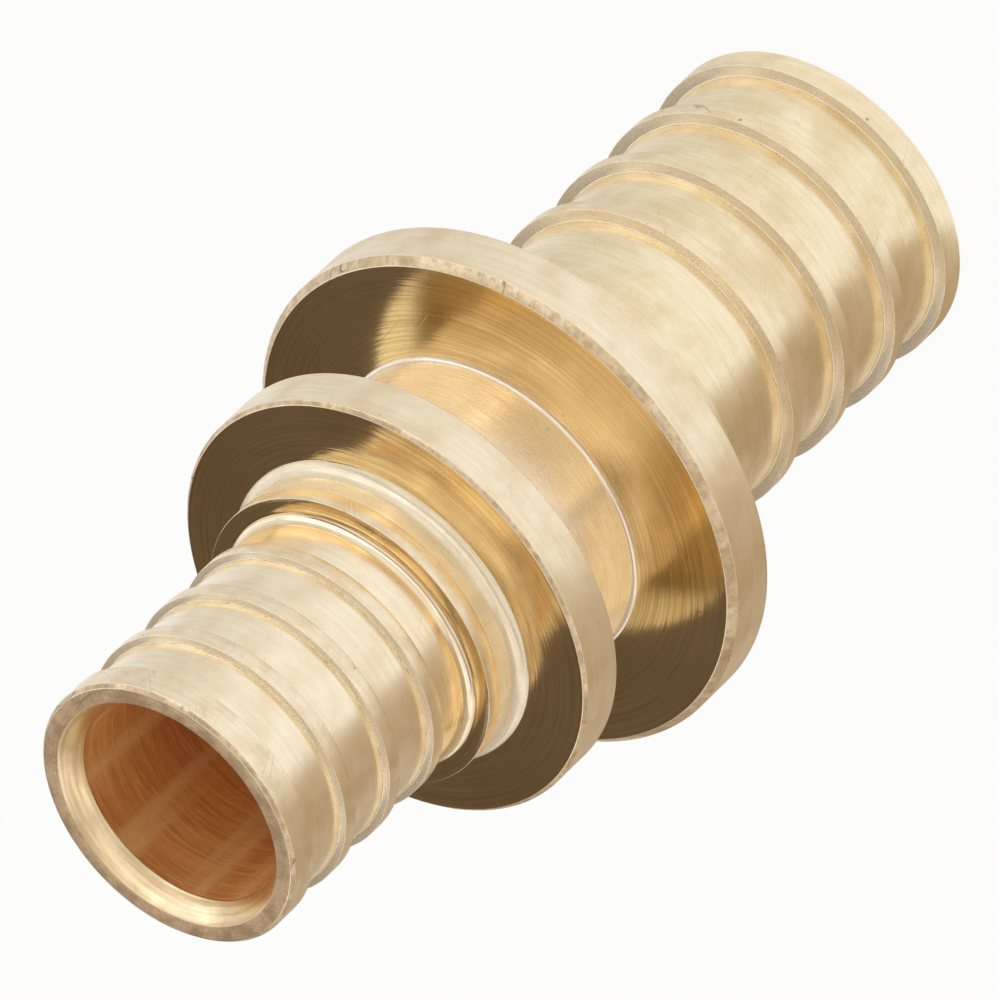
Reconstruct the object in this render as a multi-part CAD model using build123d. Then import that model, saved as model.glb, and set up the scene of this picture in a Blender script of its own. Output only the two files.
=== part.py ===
from build123d import *
from math import radians, tan
import os

# One turned brass reducing coupling, in millimetres, for two sizes of plastic
# pipe that are each held by a pressed sleeve. The axis is Z. The large spigot
# stands on Z = 0 and the small one points up. The outside is laid out as it is
# turned: each length starts where the last one ended, from the top face down.

END_CHAMFER = 0.22         # outer edge of both end faces

# small spigot, at the top
S_LAND_D = 17.0            # over the ribs
S_WALL = 2.0               # ribs to bore
S_GROOVE = 0.45            # depth of the grooves between the ribs
S_FLARE = 0.87             # how much the bore opens at its mouth, per side
S_FLARE_LONG = 1.3
S_END_LAND = 1.9           # plain land at the face
S_FIRST_GAP = 3.07         # end land to first rib
S_RIBS = 3
S_RIB_WIDE = 0.98
S_GAP = 3.2                # between ribs
S_LAST_GAP = 3.022         # last rib to the stop face
S_ROOT_R = 0.15            # soft corner at the foot of each rib

# small collar, where the pipe stops
STOP_R = 0.62              # soft corner at the foot of the stop face
S_COLLAR_UP = 0.97         # how far it stands above the ribs
S_COLLAR_WIDE = 1.0
RELIEF = 0.17              # turned back behind each collar
S_RELIEF_LONG = 1.81
SHOULDER_R = 0.9           # soft corner between relief and flange

# small flange
S_FLANGE_D = 27.26
S_FLANGE_WIDE = 3.1        # at the rim, both chamfers included
S_FLANGE_CH = 0.22
FACE_LEAN = 5.5            # degrees the front faces lean from square
REAR_CH = 0.12

# neck between the flanges
NECK_WALL = 1.85           # over the large bore
NECK_LONG = 7.06
NECK_R = 0.28

# large flange
L_FLANGE_D = 32.5
L_FLANGE_WIDE = 3.5
L_FLANGE_CH = 0.46

# large collar
L_RELIEF_LONG = 3.57
L_COLLAR_UP = 0.97
L_COLLAR_WIDE = 1.0

# large spigot, at the bottom
L_LAND_D = 20.46
L_WALL = 2.13
L_GROOVE = 0.75
L_FLARE = 0.95
L_FLARE_LONG = 1.3
L_FIRST_GAP = 6.782        # stop face to first rib
L_RIBS = 3
L_RIB_WIDE = 0.96
L_GAP = 4.295
L_END_LAND = 1.75
L_ROOT_R = 0.2

# waterway: the cone from the small bore to the large one
CONE_BELOW = 2.2           # start of the cone below the small flange
CONE_ANGLE = 45.0          # degrees from the axis

s_land, l_land = S_LAND_D / 2, L_LAND_D / 2
s_bore, l_bore = s_land - S_WALL, l_land - L_WALL
s_floor, l_floor = s_land - S_GROOVE, l_land - L_GROOVE
s_col, l_col = s_land + S_COLLAR_UP, l_land + L_COLLAR_UP
s_rel, l_rel = s_col - RELIEF, l_col - RELIEF
s_rim, l_rim = S_FLANGE_D / 2, L_FLANGE_D / 2
neck = l_bore + NECK_WALL
face_slope = tan(radians(FACE_LEAN))

outer = []                 # corners: radius, depth below the top face, softness


def to(radius, further=0.0, soft=0.0):
    """The next corner, at this radius and this much further down."""
    depth = outer[-1][1] if outer else 0.0
    outer.append((radius, depth + further, soft))
    return depth + further


# small spigot
to(s_land - END_CHAMFER)
to(s_land, END_CHAMFER)
to(s_land, S_END_LAND - END_CHAMFER)
to(s_floor, 0, S_ROOT_R)
gap, root = S_FIRST_GAP, S_ROOT_R
for rib in range(S_RIBS):
    to(s_floor, gap, root)
    to(s_land)
    to(s_land, S_RIB_WIDE)
    to(s_floor, 0, root)
    gap = S_GAP
# small collar and its relief
to(s_floor, S_LAST_GAP, STOP_R)
to(s_col)
to(s_col, S_COLLAR_WIDE)
to(s_rel, RELIEF)
to(s_rel, S_RELIEF_LONG, SHOULDER_R)
# small flange
to(s_rim - S_FLANGE_CH, (s_rim - S_FLANGE_CH - s_rel) * face_slope)
to(s_rim, S_FLANGE_CH)
to(s_rim, S_FLANGE_WIDE - S_FLANGE_CH - REAR_CH)
rear = to(s_rim - REAR_CH, REAR_CH)
# neck
to(neck, 0, NECK_R)
to(neck, NECK_LONG, NECK_R)
# large flange
to(l_rim - L_FLANGE_CH, (l_rim - L_FLANGE_CH - neck) * face_slope)
to(l_rim, L_FLANGE_CH)
to(l_rim, L_FLANGE_WIDE - L_FLANGE_CH - REAR_CH)
to(l_rim - REAR_CH, REAR_CH)
# large collar and its relief
to(l_rel, 0, SHOULDER_R)
to(l_rel, L_RELIEF_LONG)
to(l_col, RELIEF)
to(l_col, L_COLLAR_WIDE)
to(l_floor, 0, STOP_R)
# large spigot
gap, root = L_FIRST_GAP, L_ROOT_R
for rib in range(L_RIBS):
    to(l_floor, gap, root)
    to(l_land)
    to(l_land, L_RIB_WIDE)
    to(l_floor, 0, root)
    gap = L_GAP
to(l_floor, gap, root)
to(l_land)
to(l_land, L_END_LAND - END_CHAMFER)
total = to(l_land - END_CHAMFER, END_CHAMFER)

# waterway, from the bottom face back up
cone_top = rear + CONE_BELOW
cone_long = abs(l_bore - s_bore) / tan(radians(CONE_ANGLE))
inner = [
    (l_bore + L_FLARE, total, 0),
    (l_bore, total - L_FLARE_LONG, 0),
    (l_bore, cone_top + cone_long, 0),
    (s_bore, cone_top, 0),
    (s_bore, S_FLARE_LONG, 0),
    (s_bore + S_FLARE, 0, 0),
]


def outline(corners):
    """Straight runs between the corners, with a true arc at each soft one."""
    spots = [Vector(r, 0, total - depth) for r, depth, _ in corners]
    edges, first, start = [], None, None
    for i, (_, _, soft) in enumerate(corners):
        here, before = spots[i], spots[i - 1]
        j = (i + 1) % len(spots)
        after = spots[j]
        a = b = here
        if soft:
            u, v = (before - here).normalized(), (after - here).normalized()
            half = radians(u.get_angle(v)) / 2
            # two soft corners share the run between them, one may use most of it
            room = min(
                (before - here).length * (0.45 if corners[i - 1][2] else 0.9),
                (after - here).length * (0.45 if corners[j][2] else 0.9),
            )
            run = min(soft / tan(half), room)
            a, b = here + u * run, here + v * run
            hub = (u + v).normalized()
            reach = (run ** 2 + (run * tan(half)) ** 2) ** 0.5
            mid = here + hub * (reach - run * tan(half))
        if start is None:
            first = a
        else:
            edges.append(Line(start, a))
        if soft:
            edges.append(ThreePointArc(a, mid, b))
        start = b
    edges.append(Line(start, first))
    return edges


section = make_face(Wire(outline(outer + inner)))
coupling_body = revolve(section, Axis.Z, 360)

os.makedirs("parts", exist_ok=True)
export_step(coupling_body, "parts/coupling_body.step")
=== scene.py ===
"""A turned brass reducing coupling: two ribbed spigots, two flanges and the neck between them."""

import math

import bmesh
import bpy
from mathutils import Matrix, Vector


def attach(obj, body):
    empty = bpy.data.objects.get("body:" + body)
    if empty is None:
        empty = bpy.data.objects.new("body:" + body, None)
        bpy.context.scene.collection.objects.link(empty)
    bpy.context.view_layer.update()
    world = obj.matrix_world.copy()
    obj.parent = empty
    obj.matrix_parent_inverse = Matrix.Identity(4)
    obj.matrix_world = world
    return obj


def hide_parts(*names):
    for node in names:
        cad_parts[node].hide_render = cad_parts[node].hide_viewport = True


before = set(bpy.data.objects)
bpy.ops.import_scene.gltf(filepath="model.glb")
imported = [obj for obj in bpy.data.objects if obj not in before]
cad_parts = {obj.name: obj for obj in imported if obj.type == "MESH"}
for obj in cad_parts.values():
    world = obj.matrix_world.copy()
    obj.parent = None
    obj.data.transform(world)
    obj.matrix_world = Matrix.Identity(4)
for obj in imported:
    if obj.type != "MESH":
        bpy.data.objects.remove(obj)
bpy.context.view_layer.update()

MM = 0.001
DEG = math.pi / 180
ROUND = 224         # points around each turned ring
RING_SLACK = 0.004  # how far, in mm, a ring may lie from where it is looked for

# ---------------------------------------------------------------- sizes, in mm
# Radii are from the axis. Heights are from the large end, on which the part stands.
TOP = 63.967

LARGE_LAND, LARGE_GROOVE = 10.230, 9.480  # radii of the large spigot
LARGE_END = 1.750                         # height of the land at the large end
LARGE_RIB, LARGE_GAP = 0.960, 4.295       # one rib, and the groove before the next
LARGE_RIBS = [LARGE_END + LARGE_GAP + rib * (LARGE_RIB + LARGE_GAP) for rib in range(3)]

SMALL_LAND, SMALL_GROOVE = 8.500, 8.050   # radii of the small spigot
SMALL_END = 62.067                        # where the land at the small end begins
SMALL_RIB, SMALL_GAP = 0.980, 3.200
SMALL_FIRST = 49.657                      # foot of the first rib above the collar
SMALL_RIBS = [SMALL_FIRST + rib * (SMALL_RIB + SMALL_GAP) for rib in range(3)]

# each collar: the height of the square face where a sleeve stops, and how wide its land is
LARGE_STOP, LARGE_STOP_WIDE = 24.297, 1.000
SMALL_STOP, SMALL_STOP_WIDE = 46.635, 1.000
LARGE_COLLAR_R, SMALL_COLLAR_R = 11.200, 9.470
LARGE_RELIEF, SMALL_RELIEF = 11.030, 9.300   # radii between each collar and its flange
LARGE_BACK, NECK_FOOT = 29.037, 33.099       # the large flange, where it meets relief and neck
NECK_TOP, RELIEF_FOOT = 40.159, 43.655       # the small flange, where it meets neck and relief
NECK = 9.950                                 # its radius


def ribs(feet, wide, land, groove):
    """The four corners of each rib, going up."""
    corners = []
    for foot in feet:
        corners += [(groove, foot), (land, foot), (land, foot + wide), (groove, foot + wide)]
    return corners


# (radius, height), going up the outside and then down through the waterway
LARGE_SPIGOT = [
    (10.010, 0.000), (LARGE_LAND, 0.220), (LARGE_LAND, LARGE_END), (LARGE_GROOVE, LARGE_END),
    *ribs(LARGE_RIBS, LARGE_RIB, LARGE_LAND, LARGE_GROOVE),
]
LARGE_COLLAR = [
    (LARGE_GROOVE, LARGE_STOP), (LARGE_COLLAR_R, LARGE_STOP),
    (LARGE_COLLAR_R, LARGE_STOP + LARGE_STOP_WIDE), (LARGE_RELIEF, 25.467),
]
LARGE_FLANGE = [
    (LARGE_RELIEF, LARGE_BACK), (16.130, LARGE_BACK), (16.250, 29.157),
    (16.250, 32.077), (15.790, 32.537), (NECK, NECK_FOOT),
]
SMALL_FLANGE = [
    (NECK, NECK_TOP), (13.510, NECK_TOP), (13.630, 40.279),
    (13.630, 43.039), (13.410, 43.259), (SMALL_RELIEF, RELIEF_FOOT),
]
SMALL_COLLAR = [
    (SMALL_RELIEF, 45.465), (SMALL_COLLAR_R, SMALL_STOP - SMALL_STOP_WIDE),
    (SMALL_COLLAR_R, SMALL_STOP), (SMALL_GROOVE, SMALL_STOP),
]
SMALL_SPIGOT = [
    *ribs(SMALL_RIBS, SMALL_RIB, SMALL_LAND, SMALL_GROOVE),
    (SMALL_GROOVE, SMALL_END), (SMALL_LAND, SMALL_END), (SMALL_LAND, 63.747), (8.280, TOP),
]
OUTSIDE = LARGE_SPIGOT + LARGE_COLLAR + LARGE_FLANGE + SMALL_FLANGE + SMALL_COLLAR + SMALL_SPIGOT
WATERWAY = [
    (7.370, TOP), (6.500, 62.667), (6.500, 37.959), (8.100, 36.359),
    (8.100, 1.300), (9.050, 0.000),
]

# inside corners with a run of their own: (radius, height, run, steps)
FILLETS = [
    (LARGE_RELIEF, LARGE_BACK, 0.90, 9), (NECK, NECK_FOOT, 0.25, 4), (NECK, NECK_TOP, 0.28, 4),
    (SMALL_RELIEF, RELIEF_FOOT, 0.82, 9), (LARGE_GROOVE, LARGE_STOP, 0.62, 8),
    (SMALL_GROOVE, SMALL_STOP, 0.62, 8), (LARGE_GROOVE, LARGE_END, 0.09, 3),
]
for foot in LARGE_RIBS:
    FILLETS += [(LARGE_GROOVE, foot, 0.09, 3), (LARGE_GROOVE, foot + LARGE_RIB, 0.09, 3)]
for foot in SMALL_RIBS:
    FILLETS += [(SMALL_GROOVE, foot, 0.06, 3), (SMALL_GROOVE, foot + SMALL_RIB, 0.06, 3)]
FILLETS.append((SMALL_GROOVE, SMALL_END, 0.06, 3))
EDGE_BREAK = 0.032  # on every other edge of the outside
BORE_BREAK = 0.05   # on the corners of the waterway


# ---------------------------------------------------------------- turning
def clear_selection():
    if bpy.context.mode != "OBJECT":
        bpy.ops.object.mode_set(mode="OBJECT")
    bpy.ops.object.select_all(action="DESELECT")


def extrude_ring(rise, grow):
    """Draws the selected ring up by a rise in metres, grown about the axis."""
    bpy.ops.mesh.extrude_edges_move(TRANSFORM_OT_translate={"value": (0, 0, rise)})
    if abs(grow - 1) > 1e-9:
        bpy.ops.transform.resize(value=(grow, grow, 1), center_override=(0, 0, 0))


def start_ring(name, radius):
    """An open ring of edges at height 0, left in edit mode with all of it selected."""
    clear_selection()
    bpy.ops.mesh.primitive_circle_add(vertices=ROUND, radius=radius * MM, fill_type="NOTHING")
    piece = bpy.context.object
    piece.name = piece.data.name = name
    bpy.ops.object.mode_set(mode="EDIT")
    bpy.ops.mesh.select_mode(type="EDGE")
    bpy.ops.mesh.select_all(action="SELECT")
    return piece


def turn(path):
    """Draws the selected ring, which lies at the path's first corner, through all the others."""
    for (radius, height), (new_radius, new_height) in zip(path, path[1:]):
        extrude_ring((new_height - height) * MM, new_radius / radius)


def select_rings(places):
    """Selects the ring edges that lie at any of the (radius, height) places."""
    mesh = bmesh.from_edit_mesh(bpy.context.object.data)
    bpy.ops.mesh.select_all(action="DESELECT")
    mesh.verts.index_update()
    at = [(math.hypot(vert.co.x, vert.co.y) / MM, vert.co.z / MM) for vert in mesh.verts]
    for edge in mesh.edges:
        ends = [at[vert.index] for vert in edge.verts]
        for radius, height in places:
            if all(max(abs(r - radius), abs(z - height)) < RING_SLACK for r, z in ends):
                edge.select_set(True)
                break
    bmesh.update_edit_mesh(bpy.context.object.data)


def select_faces(low, high, inner, outer, slope):
    """Selects faces whose middle is between two heights and two radii, in mm; slope picks
    'up', 'down' or 'side' by the face's normal, and None takes them all."""
    mesh = bmesh.from_edit_mesh(bpy.context.object.data)
    bpy.ops.mesh.select_all(action="DESELECT")
    for face in mesh.faces:
        middle = face.calc_center_median() / MM
        if not (low <= middle.z <= high and inner <= math.hypot(middle.x, middle.y) <= outer):
            continue
        tilt = face.normal.z
        facing = "up" if tilt >= 0.5 else "down" if tilt <= -0.5 else "side"
        if slope in (None, facing):
            face.select_set(True)
    bmesh.update_edit_mesh(bpy.context.object.data)


# ---------------------------------------------------------------- node helpers
def new_group(name, inputs, outputs):
    group = bpy.data.node_groups.new(name, "ShaderNodeTree")
    for label, value in inputs:
        socket = group.interface.new_socket(name=label, in_out="INPUT", socket_type="NodeSocketFloat")
        socket.default_value = value
    for label, kind in outputs:
        group.interface.new_socket(name=label, in_out="OUTPUT", socket_type=kind)
    return group, group.nodes.new("NodeGroupInput"), group.nodes.new("NodeGroupOutput")


def place_group(tree, group, **values):
    node = tree.nodes.new("ShaderNodeGroup")
    node.node_tree = group
    for label, value in values.items():
        node.inputs[label.replace("_", " ")].default_value = value
    return node


def fill_sockets(tree, sockets, values):
    """Sets each socket to its number or colour, or links it to another node's output."""
    for socket, value in zip(sockets, values):
        if isinstance(value, (int, float)):
            socket.default_value = value
        elif isinstance(value, tuple):
            socket.default_value = (*value, 1.0)
        else:
            tree.links.new(value, socket)


def math_node(tree, operation, *values, clamp=False):
    node = tree.nodes.new("ShaderNodeMath")
    node.operation = operation
    node.use_clamp = clamp
    fill_sockets(tree, node.inputs, values)
    return node.outputs[0]


def mix_colour(tree, amount, first, second):
    node = tree.nodes.new("ShaderNodeMix")
    node.data_type = "RGBA"
    fill_sockets(tree, (node.inputs[0], node.inputs[6], node.inputs[7]), (amount, first, second))
    return node.outputs[2]


def remap(tree, value, low, high, to_low=0.0, to_high=1.0):
    """Eases a value from one range to another."""
    node = tree.nodes.new("ShaderNodeMapRange")
    node.interpolation_type = "SMOOTHSTEP"
    fill_sockets(tree, node.inputs, (value, low, high, to_low, to_high))
    return node.outputs[0]


def noise(tree, vector, scale, detail, rough):
    node = tree.nodes.new("ShaderNodeTexNoise")
    sockets = [node.inputs[label] for label in ("Vector", "Scale", "Detail", "Roughness")]
    fill_sockets(tree, sockets, (vector, scale, detail, rough))
    return node.outputs["Fac"]


def combine(tree, x, y, z):
    node = tree.nodes.new("ShaderNodeCombineXYZ")
    fill_sockets(tree, node.inputs, (x, y, z))
    return node.outputs[0]


def shrink(tree, vector, size):
    """Divides a vector by one size, so that a pattern grows with the size."""
    node = tree.nodes.new("ShaderNodeVectorMath")
    node.operation = "DIVIDE"
    fill_sockets(tree, node.inputs, (vector, combine(tree, size, size, size)))
    return node.outputs[0]


def length(tree, x, y):
    squares = [math_node(tree, "MULTIPLY", side, side) for side in (x, y)]
    return math_node(tree, "SQRT", math_node(tree, "ADD", *squares))


# ---------------------------------------------------------------- shared effects
def build_lathe_position():
    """Where a point is on the part: how far out and up, in mm, and which way round."""
    group, _, result = new_group(
        "lathe_position", [],
        [("Out", "NodeSocketFloat"), ("Up", "NodeSocketFloat"), ("Round X", "NodeSocketFloat"),
         ("Round Y", "NodeSocketFloat"), ("Place", "NodeSocketVector")],
    )
    place = group.nodes.new("ShaderNodeTexCoord")
    scaled = group.nodes.new("ShaderNodeVectorMath")
    scaled.operation = "SCALE"
    scaled.inputs["Scale"].default_value = 1 / MM
    group.links.new(place.outputs["Object"], scaled.inputs[0])
    parts = group.nodes.new("ShaderNodeSeparateXYZ")
    group.links.new(scaled.outputs[0], parts.inputs[0])
    x, y, z = parts.outputs
    out = length(group, x, y)
    group.links.new(out, result.inputs["Out"])
    group.links.new(z, result.inputs["Up"])
    group.links.new(math_node(group, "DIVIDE", x, out), result.inputs["Round X"])
    group.links.new(math_node(group, "DIVIDE", y, out), result.inputs["Round Y"])
    group.links.new(scaled.outputs[0], result.inputs["Place"])
    return group


LATHE_POSITION = build_lathe_position()


def round_and_along(tree, at, count, along):
    """A vector for marks that break up around the part a few times, and go on along it."""
    sides = [math_node(tree, "MULTIPLY", at.outputs[label], count) for label in ("Round X", "Round Y")]
    return combine(tree, *sides, along)


def build_turning_marks():
    """Fine rings left by the turning tool, broken up around the part."""
    group, source, result = new_group(
        "turning_marks", [("Up Pitch", 0.2), ("Out Pitch", 0.2), ("Breaks", 3.0)],
        [("Height", "NodeSocketFloat"), ("Streak", "NodeSocketFloat")],
    )
    at = place_group(group, LATHE_POSITION)
    along = math_node(group, "ADD",
                      math_node(group, "DIVIDE", at.outputs["Up"], source.outputs["Up Pitch"]),
                      math_node(group, "DIVIDE", at.outputs["Out"], source.outputs["Out Pitch"]))
    breaks = source.outputs["Breaks"]
    rings = noise(group, round_and_along(group, at, breaks, along), 1.0, 3.0, 0.6)
    slow = math_node(group, "MULTIPLY", along, 0.23)
    wide = noise(group, round_and_along(group, at, breaks, slow), 1.0, 2.0, 0.5)
    height = math_node(group, "ADD", rings, math_node(group, "MULTIPLY", wide, 0.8))
    group.links.new(height, result.inputs["Height"])
    group.links.new(remap(group, rings, 0.35, 0.7), result.inputs["Streak"])
    return group


def add_pits(group, place, amount):
    """Small round dents, larger and closer together where a slow noise is high."""
    cells = group.nodes.new("ShaderNodeTexVoronoi")
    cells.feature = "F1"
    cells.inputs["Scale"].default_value = 0.9
    cells.inputs["Randomness"].default_value = 1.0
    group.links.new(place, cells.inputs["Vector"])
    begins = math_node(group, "SUBTRACT", 0.75, math_node(group, "MULTIPLY", amount, 0.4))
    reach = remap(group, noise(group, place, 0.35, 2.0, 0.6), begins, 0.8, 0.02, 0.2)
    return remap(group, math_node(group, "DIVIDE", cells.outputs["Distance"], reach), 0.4, 1.0, 1.0, 0.0)


def add_scratches(group, at, place):
    """Nearly straight hair scratches, slanting across the part here and there."""
    axes = group.nodes.new("ShaderNodeSeparateXYZ")
    group.links.new(place, axes.inputs[0])
    x, y, z = axes.outputs
    across = math_node(group, "ADD", x, math_node(group, "MULTIPLY", z, 0.6))
    slant = combine(group, math_node(group, "MULTIPLY", across, 0.9),
                    math_node(group, "MULTIPLY", y, 0.08), math_node(group, "MULTIPLY", z, 0.06))
    off_line = math_node(group, "SUBTRACT", noise(group, slant, 1.0, 0.0, 0.5), 0.5)
    lines = remap(group, math_node(group, "ABSOLUTE", off_line), 0.0, 0.010, 1.0, 0.0)
    patches = remap(group, noise(group, at.outputs["Place"], 0.42, 2.0, 0.6), 0.54, 0.62)
    return math_node(group, "MULTIPLY", lines, patches)


def build_handling():
    """Small dents, pits and short scratches from handling, loose in a bin with others."""
    group, source, result = new_group(
        "handling", [("Size", 1.0), ("Amount", 0.5)],
        [("Height", "NodeSocketFloat"), ("Mask", "NodeSocketFloat")],
    )
    at = place_group(group, LATHE_POSITION)
    amount = source.outputs["Amount"]
    place = shrink(group, at.outputs["Place"], source.outputs["Size"])
    pits = add_pits(group, place, amount)
    scratches = math_node(group, "MULTIPLY", add_scratches(group, at, place), amount)
    mask = math_node(group, "MAXIMUM", pits, scratches, clamp=True)
    group.links.new(math_node(group, "MULTIPLY", mask, -1.0), result.inputs["Height"])
    group.links.new(mask, result.inputs["Mask"])
    return group


def build_tarnish():
    """Soft cloudy change of colour where the bright surface has begun to dull."""
    group, source, result = new_group(
        "tarnish", [("Size", 6.0), ("Speckle", 0.3)], [("Mask", "NodeSocketFloat")],
    )
    at = place_group(group, LATHE_POSITION)
    clouds = noise(group, shrink(group, at.outputs["Place"], source.outputs["Size"]), 1.0, 4.0, 0.55)
    specks = remap(group, noise(group, at.outputs["Place"], 5.5, 2.0, 0.6), 0.5, 0.75)
    specks = math_node(group, "MULTIPLY", specks, source.outputs["Speckle"])
    mask = math_node(group, "ADD", remap(group, clouds, 0.35, 0.7), specks, clamp=True)
    group.links.new(mask, result.inputs["Mask"])
    return group


def build_raggedness():
    """How ragged a line is at each place, for all the root lines of painted shade and wear in a finish."""
    group, _, result = new_group("raggedness", [], [("Level", "NodeSocketFloat")])
    at = place_group(group, LATHE_POSITION)
    group.links.new(noise(group, at.outputs["Place"], 2.6, 4.0, 0.7), result.inputs["Level"])
    return group


def build_root_shade_and_wear():
    """A dark line of painted shade in a root corner, with worn nicks, that follows one turned corner at a
    given radius and height.
    """
    group, source, result = new_group(
        "root_shade_and_wear", [("Out", 8.5), ("Up", 60.0), ("Width", 0.055), ("Nicks", 0.5), ("Ragged", 0.5)],
        [("Mask", "NodeSocketFloat"), ("Height", "NodeSocketFloat")],
    )
    at = place_group(group, LATHE_POSITION)
    far = length(group, *(math_node(group, "SUBTRACT", at.outputs[way], source.outputs[way])
                          for way in ("Out", "Up")))
    ragged = source.outputs["Ragged"]
    bite = math_node(group, "MULTIPLY", remap(group, ragged, 0.42, 0.72), source.outputs["Nicks"])
    reach = math_node(group, "ADD", math_node(group, "MULTIPLY", bite, 3.0), 0.6)
    reach = math_node(group, "MULTIPLY", source.outputs["Width"], reach)
    mask = remap(group, math_node(group, "DIVIDE", far, reach), 0.35, 1.0, 1.0, 0.0)
    height = math_node(group, "MULTIPLY", mask, math_node(group, "MULTIPLY", ragged, -1.0))
    group.links.new(mask, result.inputs["Mask"])
    group.links.new(height, result.inputs["Height"])
    return group


def build_painted_highlight_streaks():
    """Painted highlights: soft bands of lighter colour that run lengthwise, and a few rings across them."""
    group, _, result = new_group("painted_highlight_streaks", [], [("Mask", "NodeSocketFloat")])
    at = place_group(group, LATHE_POSITION)
    masks = []
    for count, stretch, detail, rough, low, high in (
        (3.2, 0.02, 2.0, 0.5, 0.42, 0.66),
        (2.4, 5.5, 3.0, 0.75, 0.56, 0.68),
    ):
        along = math_node(group, "MULTIPLY", at.outputs["Up"], stretch)
        level = noise(group, round_and_along(group, at, count, along), 1.0, detail, rough)
        masks.append(remap(group, level, low, high))
    group.links.new(math_node(group, "MAXIMUM", *masks, clamp=True), result.inputs["Mask"])
    return group


TURNING_MARKS = build_turning_marks()
HANDLING = build_handling()
TARNISH = build_tarnish()
RAGGEDNESS = build_raggedness()
ROOT_SHADE_AND_WEAR = build_root_shade_and_wear()
PAINTED_HIGHLIGHT_STREAKS = build_painted_highlight_streaks()


# ---------------------------------------------------------------- finishes
PALE = (0.99, 0.885, 0.69)
WARM = (0.98, 0.865, 0.63)
YELLOW = (0.94, 0.75, 0.43)
DULL = (0.78, 0.60, 0.36)
# dark tone for real dirt in dents and scratches, and for the painted shade in the root corners
DIRT_AND_SHADE = (0.20, 0.12, 0.055)

TARNISH_ROUGH = 0.06  # how much rougher the dulled places are
ROOT_PAINTED_SHADE, WEAR_DEPTH, WEAR_ROUGH = 0.65, 0.02, 0.15  # at the root corners: painted shade, and wear that dents and roughens; the depth is in mm


def turn_grain(tree, shader, strength):
    """Stretches the gloss across the turning marks, which go round the part."""
    shader.inputs["Anisotropic"].default_value = strength
    shader.inputs["Anisotropic Rotation"].default_value = 0.25
    tangent = tree.nodes.new("ShaderNodeTangent")
    tangent.direction_type = "RADIAL"
    tangent.axis = "Z"
    tree.links.new(tangent.outputs["Tangent"], shader.inputs["Tangent"])


def brass(name, colour, dull, rough, pitch=(0.2, 0.2), breaks=3.0, marks=0.004, mark_rough=0.08,
          mark_shade=0.15, dents=0.004, dent_size=1.0, dent_amount=0.4, dent_shade=0.35,
          dull_size=6.0, dull_amount=0.5, speckle=0.3, anisotropic=0.0, metal=1.0,
          highlight_streaks=0.0, highlight_colour=PALE, edges=()):
    """One finish of turned brass. marks and dents are depths in mm; edges are the
    (radius, height) of the root corners that get a line of painted shade and worn nicks in this finish."""
    material = bpy.data.materials.new(name)
    material.use_nodes = True
    tree = material.node_tree
    shader = tree.nodes["Principled BSDF"]
    shader.inputs["Metallic"].default_value = metal
    turning = place_group(tree, TURNING_MARKS, Up_Pitch=pitch[0], Out_Pitch=pitch[1], Breaks=breaks)
    handling = place_group(tree, HANDLING, Size=dent_size, Amount=dent_amount)
    tarnish = place_group(tree, TARNISH, Size=dull_size, Speckle=speckle)

    def times(node, label, amount):
        return math_node(tree, "MULTIPLY", node.outputs[label], amount)

    shade = mix_colour(tree, times(tarnish, "Mask", dull_amount), colour, dull)
    shade = mix_colour(tree, times(turning, "Streak", mark_shade), shade, dull)
    # lighter lengthwise streaks of painted highlight
    if highlight_streaks:
        highlights = place_group(tree, PAINTED_HIGHLIGHT_STREAKS)
        shade = mix_colour(tree, times(highlights, "Mask", highlight_streaks), shade, highlight_colour)
    shade = mix_colour(tree, times(handling, "Mask", dent_shade), shade, DIRT_AND_SHADE)
    height = math_node(tree, "ADD", times(turning, "Height", marks), times(handling, "Height", dents))
    gloss = math_node(tree, "ADD", rough, times(turning, "Streak", mark_rough))
    gloss = math_node(tree, "ADD", gloss, times(tarnish, "Mask", TARNISH_ROUGH))
    if edges:
        ragged = place_group(tree, RAGGEDNESS)
    # each root corner gets a dark line of painted shade, and worn nicks that dent and roughen it
    for out, up in edges:
        root_line = place_group(tree, ROOT_SHADE_AND_WEAR, Out=out, Up=up)
        tree.links.new(ragged.outputs["Level"], root_line.inputs["Ragged"])
        shade = mix_colour(tree, times(root_line, "Mask", ROOT_PAINTED_SHADE), shade, DIRT_AND_SHADE)
        height = math_node(tree, "ADD", height, times(root_line, "Height", WEAR_DEPTH))
        gloss = math_node(tree, "ADD", gloss, times(root_line, "Mask", WEAR_ROUGH))
    bump = tree.nodes.new("ShaderNodeBump")
    bump.inputs["Distance"].default_value = MM
    tree.links.new(height, bump.inputs["Height"])
    tree.links.new(shade, shader.inputs["Base Color"])
    tree.links.new(gloss, shader.inputs["Roughness"])
    tree.links.new(bump.outputs["Normal"], shader.inputs["Normal"])
    if anisotropic:
        turn_grain(tree, shader, anisotropic)
    return material


# a line of painted shade, with worn nicks, in the groove above each rib
SMALL_ROOTS = [(SMALL_GROOVE, foot + SMALL_RIB) for foot in SMALL_RIBS]
LARGE_ROOTS = [(LARGE_GROOVE, foot + LARGE_RIB) for foot in LARGE_RIBS]

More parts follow.
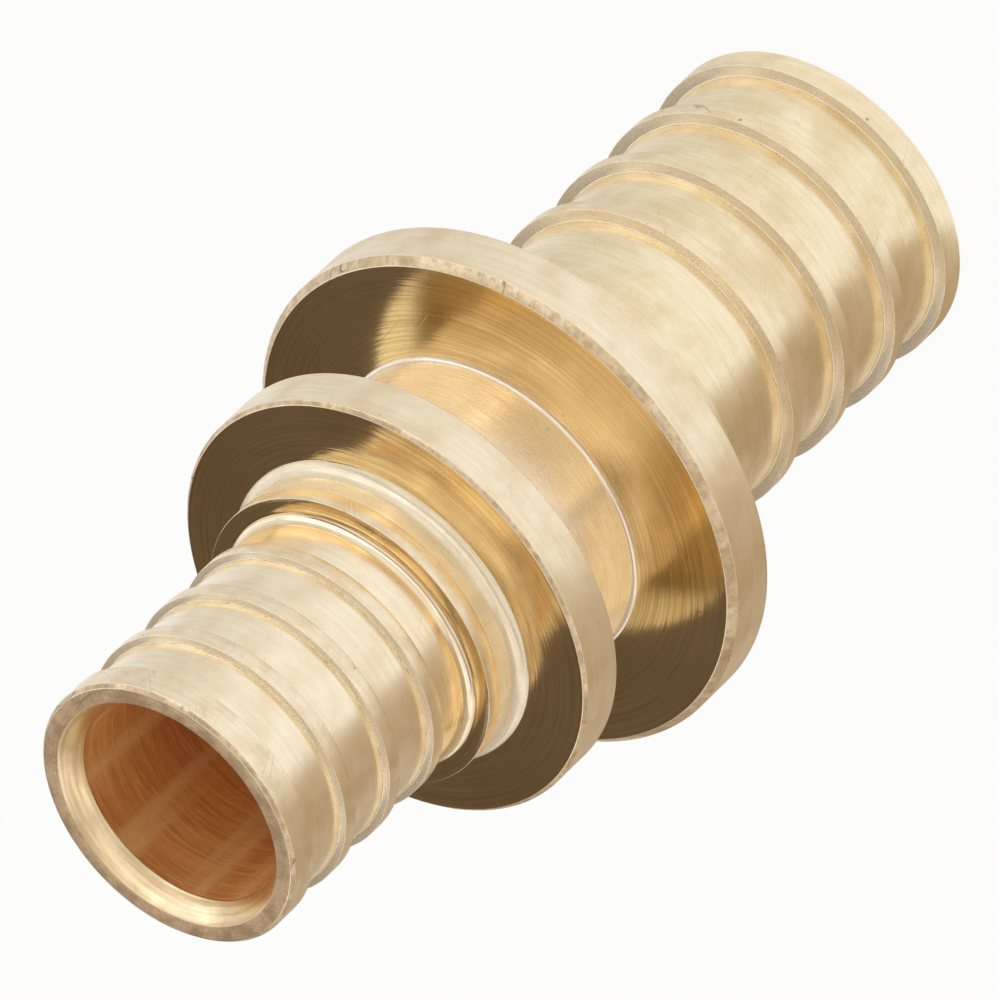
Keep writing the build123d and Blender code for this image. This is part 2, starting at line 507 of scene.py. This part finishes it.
FINISH_VALUES = {
    # spigots
    "turned_groove": dict(
        colour=PALE, dull=DULL, rough=0.12, pitch=(0.26, 0.5), breaks=1.6, marks=0.007,
        mark_rough=0.10, mark_shade=0.2, dull_size=2.6, dull_amount=0.45, speckle=0.12,
        dents=0.008, edges=SMALL_ROOTS),
    "turned_land": dict(
        colour=PALE, dull=DULL, rough=0.26, pitch=(0.19, 0.5), marks=0.007, mark_shade=0.3,
        dull_size=1.6, dull_amount=0.6, dents=0.008, dent_size=0.8, dent_amount=0.7, dent_shade=0.4),
    "large_groove": dict(
        colour=WARM, dull=(0.70, 0.52, 0.27), rough=0.17, pitch=(0.25, 0.5), marks=0.007,
        mark_shade=0.22, dull_size=3.6, dents=0.008, edges=LARGE_ROOTS),
    "large_land": dict(
        colour=WARM, dull=DULL, rough=0.28, pitch=(0.16, 0.5), marks=0.007, mark_shade=0.3,
        dull_size=2.0, speckle=0.5, dents=0.010, dent_amount=0.8, dent_shade=0.6),
    "step_face": dict(
        colour=(1.0, 0.92, 0.74), dull=(0.66, 0.50, 0.30), rough=0.20, pitch=(0.5, 0.08),
        marks=0.005, mark_shade=0.2, dull_size=1.6, dull_amount=0.2, speckle=0.1,
        dent_amount=0.2, metal=0.5),
    # flanges and neck
    "flange_face": dict(
        colour=YELLOW, dull=(0.60, 0.41, 0.19), rough=0.08, pitch=(5.0, 0.13), breaks=1.0,
        marks=0.005, mark_rough=0.04, mark_shade=0.62, dull_size=5.0, dull_amount=0.3,
        speckle=0.12, dents=0.003, dent_size=1.1, dent_amount=0.5, dent_shade=0.15,
        anisotropic=0.6),
    "flange_back": dict(
        colour=(1.0, 0.93, 0.74), dull=PALE, rough=0.10, pitch=(5.0, 0.15), breaks=2.0,
        mark_rough=0.06, dull_amount=0.2, speckle=0.2, anisotropic=0.5),
    "flange_rim": dict(
        colour=PALE, dull=DULL, rough=0.30, pitch=(0.15, 0.5), marks=0.006, mark_shade=0.3,
        dull_size=3.0, dull_amount=0.55, dents=0.006, dent_size=0.9, dent_amount=0.5,
        dent_shade=0.25),
    "burred_edge": dict(
        colour=(0.88, 0.73, 0.50), dull=(0.34, 0.22, 0.10), rough=0.34, pitch=(0.10, 0.10),
        breaks=7.0, marks=0.009, mark_shade=0.55, dull_size=0.5, dull_amount=0.45, speckle=0.5,
        dents=0.014, dent_size=0.5, dent_amount=0.9, dent_shade=0.9, metal=0.6),
    "neck_turned": dict(
        colour=(1.0, 0.92, 0.79), dull=(0.80, 0.65, 0.47), rough=0.16, pitch=(0.10, 0.5),
        breaks=5.0, marks=0.009, mark_rough=0.12, mark_shade=0.35, dull_size=3.0,
        dull_amount=0.4, dents=0.006, dent_amount=0.5, metal=0.8),
    # ends and bore
    "end_face": dict(
        colour=(0.84, 0.64, 0.42), dull=(0.40, 0.27, 0.15), rough=0.50, pitch=(0.5, 0.16),
        marks=0.010, mark_shade=0.35, dull_size=1.3, dull_amount=0.75, speckle=0.5,
        dents=0.012, dent_size=0.6, dent_amount=0.8, dent_shade=0.6, metal=0.55),
    "countersink": dict(
        colour=(0.93, 0.79, 0.55), dull=(0.60, 0.45, 0.25), rough=0.26, pitch=(0.45, 0.36),
        breaks=1.2, marks=0.012, mark_shade=0.75, dull_size=2.2, dull_amount=0.45,
        speckle=0.4, dents=0.008, dent_amount=0.5),
    # the bore's deep orange colour is partly painted light, standing in for light bounced many times inside
    # it; its lighter streaks are painted highlights
    "bored_wall": dict(
        colour=(1.0, 0.56, 0.20), dull=(0.56, 0.21, 0.055), rough=0.20, pitch=(0.24, 0.5),
        breaks=1.5, marks=0.009, mark_rough=0.1, mark_shade=0.6, dull_size=4.0,
        dull_amount=0.3, metal=0.42, highlight_streaks=0.8, highlight_colour=(1.0, 0.72, 0.33)),
    # every broken edge
    "edge_line": dict(
        colour=PALE, dull=DULL, rough=0.24, dull_size=0.9, speckle=0.4, dents=0.008,
        dent_size=0.5, dent_amount=0.9, dent_shade=0.8),
}
FINISHES = {name: brass(name, **values) for name, values in FINISH_VALUES.items()}
SLOTS = list(FINISHES)
EDGE_SLOT = SLOTS.index("edge_line")


# ---------------------------------------------------------------- the body
def build_body():
    body = start_ring("turned_body", OUTSIDE[0][0])
    turn(OUTSIDE + WATERWAY)
    # the end ring closes the shell between the waterway's mouth and the first ring
    bpy.ops.mesh.select_all(action="DESELECT")
    bpy.ops.mesh.select_non_manifold()
    bpy.ops.mesh.bridge_edge_loops()
    bpy.ops.mesh.select_all(action="SELECT")
    bpy.ops.mesh.remove_doubles(threshold=0.001 * MM)
    bpy.ops.mesh.normals_make_consistent(inside=False)
    for material in FINISHES.values():
        body.data.materials.append(material)
    return body


def bevel_selected(run, steps, **more):
    bpy.ops.mesh.bevel(offset=run * MM, segments=steps, profile=0.5, affect="EDGES",
                       clamp_overlap=True, **more)


def soften():
    for radius, height, run, steps in FILLETS:
        select_rings([(radius, height)])
        bevel_selected(run, steps)
    rounded = {(radius, height) for radius, height, run, steps in FILLETS}
    select_rings([corner for corner in OUTSIDE if corner not in rounded])
    bevel_selected(EDGE_BREAK, 2, material=EDGE_SLOT)
    select_rings(WATERWAY)
    bevel_selected(BORE_BREAK, 2)


HAIR = 0.01  # slack round a face, in mm


def land_area(finish, low, high, radius):
    return (finish, low, high, radius - HAIR, radius + HAIR, None)


def step_area(height, root, groove, land):
    """The step above a rib, with the flatter part of the soft corner at its foot."""
    return ("step_face", height - HAIR, height + root, groove + HAIR, land, "up")


# where each finish goes: (finish, low, high, inner, outer, slope), the later ones on top;
# what no area reaches keeps the first finish
AREAS = [
    ("large_groove", -1, 29, 9.3, 11.4, None),
    ("step_face", 43.2, 45.5, 9.2, 10.0, None),
    ("neck_turned", 32.9, 40.3, 9.9, 10.3, None),
    land_area("large_land", 0.220, LARGE_END, LARGE_LAND),
    *(land_area("large_land", foot, foot + LARGE_RIB, LARGE_LAND) for foot in LARGE_RIBS),
    ("large_land", LARGE_STOP, 25.4, 11.1, 11.25, None),
    step_area(LARGE_END, 0.09, LARGE_GROOVE, LARGE_LAND),
    *(step_area(foot + LARGE_RIB, 0.09, LARGE_GROOVE, LARGE_LAND) for foot in LARGE_RIBS),
    *(step_area(foot + SMALL_RIB, 0.06, SMALL_GROOVE, SMALL_LAND) for foot in SMALL_RIBS),
    *(land_area("turned_land", foot, foot + SMALL_RIB, SMALL_LAND) for foot in SMALL_RIBS),
    land_area("turned_land", SMALL_END, 63.747, SMALL_LAND),
    land_area("turned_land", SMALL_STOP - SMALL_STOP_WIDE, SMALL_STOP, SMALL_COLLAR_R),
    ("flange_face", 32.4, 33.1, 10.2, 15.8, "up"),
    ("flange_face", 43.25, 43.66, 10.0, 13.42, "up"),
    ("flange_back", 28.9, 29.3, 11.6, 16.14, "down"),
    ("flange_back", 40.0, 40.3, 10.2, 13.52, "down"),
    ("flange_face", 46.6, 46.8, 8.4, 9.45, "up"),
    ("flange_face", 24.1, 24.32, 9.8, 11.19, "down"),
    ("flange_rim", 29.1, 32.1, 16.2, 16.3, "side"),
    ("flange_rim", 40.2, 43.1, 13.6, 13.7, "side"),
    ("burred_edge", 32.08, 32.54, 15.7, 16.26, None),
    ("burred_edge", 43.04, 43.26, 13.4, 13.64, None),
    ("burred_edge", 63.74, TOP + HAIR, 8.27, 8.51, None),
    ("end_face", TOP - HAIR, TOP + HAIR, 7.3, 8.3, "up"),
    ("end_face", -HAIR, HAIR, 9.0, 10.1, "down"),
    ("bored_wall", 36.0, 62.7, 6.4, 7.9, None),
    ("bored_wall", 1.2, 36.5, 7.8, 8.11, None),
    ("countersink", 62.6, TOP - HAIR, 6.5, 7.4, None),
    ("countersink", HAIR, 1.32, 8.05, 9.06, None),
]


def dress(body):
    """Gives every area its finish, and leaves the broken edges in theirs."""
    bpy.ops.mesh.select_mode(type="FACE")
    mesh = bmesh.from_edit_mesh(body.data)
    broken = [face.index for face in mesh.faces if face.material_index == EDGE_SLOT]
    for finish, *area in AREAS:
        select_faces(*area)
        body.active_material_index = SLOTS.index(finish)
        bpy.ops.object.material_slot_assign()
    mesh = bmesh.from_edit_mesh(body.data)
    mesh.faces.ensure_lookup_table()
    for index in broken:
        mesh.faces[index].material_index = EDGE_SLOT
    bmesh.update_edit_mesh(body.data)


def finish_body(body):
    bpy.ops.object.mode_set(mode="OBJECT")
    bpy.ops.object.shade_smooth()
    bpy.ops.object.modifier_add(type="WEIGHTED_NORMAL")
    weighted = body.modifiers[-1]
    weighted.mode = "FACE_AREA_WITH_ANGLE"
    weighted.weight = 50
    bpy.ops.object.modifier_apply(modifier=weighted.name)
    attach(body, "root")
    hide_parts("coupling_body")


body = build_body()
soften()
dress(body)
finish_body(body)


# ---------------------------------------------------------------- floor, light and camera, in metres
FLOOR_RADIUS = 1.45
SWEEP = ((1.52, 0.012), (1.58, 0.05), (1.62, 0.11), (1.64, 0.19), (1.65, 0.378))  # radius, rise
# painted shade and light on the floor, which the brass mirrors: its tone in each direction from the part,
# in degrees from the front
FLOOR_PAINTED_SHADE = [
    (-180, (1.0, 1.0, 1.0)), (180, (1.0, 1.0, 1.0)), (-165, (0.75, 0.69, 0.60)),
    (-150, (0.50, 0.42, 0.32)), (-120, (0.55, 0.46, 0.36)), (-90, (0.47, 0.37, 0.26)),
    (-62, (0.52, 0.42, 0.30)), (-50, (0.62, 0.53, 0.42)), (-38, (1.0, 0.99, 0.97)),
    (30, (0.99, 0.98, 0.96)), (60, (0.86, 0.84, 0.80)), (90, (0.78, 0.76, 0.72)),
    (120, (0.82, 0.81, 0.80)), (150, (1.0, 1.0, 1.0)),
]
# a painted dark patch on the floor far behind the part, for a dark reflection in the brass: its tone, where
# it fades in by distance in metres, and by turn from the front
PAINTED_DARK_TONE = (0.13, 0.11, 0.09)
PAINTED_DARK_DISTANCE = (0.20, 0.32)
PAINTED_DARK_TURN = (148 * DEG, 160 * DEG)
# how much of what the camera and the brass see of the floor is a glow, white to the camera and in the
# painted shade tones to the brass; the rest is lit paper
CAMERA_SHARE, MIRROR_SHARE = 0.93, 0.95


def build_floor():
    clear_selection()
    bpy.ops.mesh.primitive_circle_add(vertices=96, radius=FLOOR_RADIUS, fill_type="NGON")
    floor = bpy.context.object
    floor.name = "studio_floor"
    # the paper turns up in a low sweep at its edge
    bpy.ops.object.mode_set(mode="EDIT")
    bpy.ops.mesh.select_mode(type="EDGE")
    bpy.ops.mesh.select_all(action="SELECT")
    radius = FLOOR_RADIUS
    for new_radius, rise in SWEEP:
        extrude_ring(rise, new_radius / radius)
        radius = new_radius
    bpy.ops.object.mode_set(mode="OBJECT")
    bpy.ops.object.shade_smooth()
    floor.data.materials.append(floor_paper())


def floor_painted_shade(tree):
    """Painted shade and light on the floor, seen only in the brass: graded round the part, with a painted
    dark patch far behind.
    """
    place = tree.nodes.new("ShaderNodeTexCoord")
    parts = tree.nodes.new("ShaderNodeSeparateXYZ")
    tree.links.new(place.outputs["Object"], parts.inputs[0])
    x, y = parts.outputs[0], parts.outputs[1]
    turned = math_node(tree, "ARCTAN2", x, math_node(tree, "MULTIPLY", y, -1.0))
    graded = tree.nodes.new("ShaderNodeValToRGB")
    tree.links.new(math_node(tree, "MULTIPLY_ADD", turned, 0.5 / math.pi, 0.5), graded.inputs[0])
    stops = graded.color_ramp.elements
    for index, (way, tone) in enumerate(FLOOR_PAINTED_SHADE):
        stop = stops[index] if index < 2 else stops.new(0.5 + way / 360)
        stop.position = 0.5 + way / 360
        stop.color = (*tone, 1)
    # a painted dark patch far behind the part, which the flange faces mirror as a dark reflection
    painted_dark = math_node(tree, "MULTIPLY", remap(tree, length(tree, x, y), *PAINTED_DARK_DISTANCE),
                      remap(tree, math_node(tree, "ABSOLUTE", turned), *PAINTED_DARK_TURN))
    return mix_colour(tree, painted_dark, graded.outputs[0], PAINTED_DARK_TONE)


def floor_paper():
    """Pale paper that takes the part's shadow, shows white to the camera, and shows its painted shade to
    the brass.
    """
    material = bpy.data.materials.new("pale_floor")
    material.use_nodes = True
    tree = material.node_tree
    shader = tree.nodes["Principled BSDF"]
    shader.inputs["Base Color"].default_value = (0.86, 0.86, 0.85, 1)
    shader.inputs["Roughness"].default_value = 0.9
    shader.inputs["Specular IOR Level"].default_value = 0.0
    path = tree.nodes.new("ShaderNodeLightPath")
    white = tree.nodes.new("ShaderNodeEmission")
    # the glow is white to the camera and carries the graded painted shade to the brass
    seen = mix_colour(tree, path.outputs["Is Camera Ray"], floor_painted_shade(tree), (1.0, 1.0, 1.0))
    tree.links.new(seen, white.inputs["Color"])
    mirrored = math_node(tree, "ADD", path.outputs["Is Glossy Ray"], path.outputs["Is Transmission Ray"],
                         clamp=True)
    share = math_node(tree, "ADD", math_node(tree, "MULTIPLY", path.outputs["Is Camera Ray"], CAMERA_SHARE),
                      math_node(tree, "MULTIPLY", mirrored, MIRROR_SHARE), clamp=True)
    blend = tree.nodes.new("ShaderNodeMixShader")
    tree.links.new(share, blend.inputs[0])
    tree.links.new(shader.outputs[0], blend.inputs[1])
    tree.links.new(white.outputs[0], blend.inputs[2])
    tree.links.new(blend.outputs[0], tree.nodes["Material Output"].inputs["Surface"])
    return material


AIM = Vector((0, 0, 0.03))
WHITE, CREAM, IVORY = (1, 1, 1), (1.0, 0.95, 0.86), (1.0, 0.96, 0.9)
# name, place, width, depth, the brightness that its face shows, and colour
LAMPS = [
    ("lamp_top", (0, 0.05, 1.15), 1.4, 1.1, 0.75, WHITE),
    ("lamp_front", (0.12, -1.10, 1.02), 2.2, 0.72, 1.15, CREAM),
    ("lamp_right", (1.30, -0.20, 0.85), 2.0, 0.95, 1.1, WHITE),
    ("lamp_left", (-1.30, -0.20, 0.85), 2.0, 0.95, 0.9, IVORY),
    ("lamp_back_right", (0.86, 0.96, 0.95), 0.85, 0.85, 0.85, WHITE),
    ("lamp_back_left", (-0.86, 0.96, 0.95), 0.85, 0.85, 0.85, WHITE),
]


def place_lamp(name, place, width, depth, level, colour):
    lamp = bpy.data.lights.new(name, "AREA")
    lamp.shape = "RECTANGLE"
    lamp.size, lamp.size_y = width, depth
    lamp.energy = level * math.pi * width * depth
    lamp.color = colour
    holder = bpy.data.objects.new(name, lamp)
    bpy.context.scene.collection.objects.link(holder)
    holder.location = place
    holder.rotation_euler = (AIM - Vector(place)).to_track_quat("-Z", "Y").to_euler()


def fill_world():
    world = bpy.data.worlds.new("studio_air")
    bpy.context.scene.world = world
    world.use_nodes = True
    world.node_tree.nodes["Background"].inputs["Color"].default_value = (0.14, 0.105, 0.08, 1)


def place_camera():
    """A long lens from the front and above, tipped so that the part lies across the frame."""
    lens = bpy.data.cameras.new("camera")
    lens.sensor_width = 36.0
    lens.lens = 461.16
    lens.clip_start = 0.05
    camera = bpy.data.objects.new("camera", lens)
    bpy.context.scene.collection.objects.link(camera)
    camera.location = (-0.000059, -0.563825, 0.479533)
    camera.rotation_euler = (-40.94508 * DEG, 34.59978 * DEG, -146.79558 * DEG)
    bpy.context.scene.camera = camera


build_floor()
for lamp in LAMPS:
    place_lamp(*lamp)
fill_world()
place_camera()
bpy.context.scene.view_settings.view_transform = "Standard"
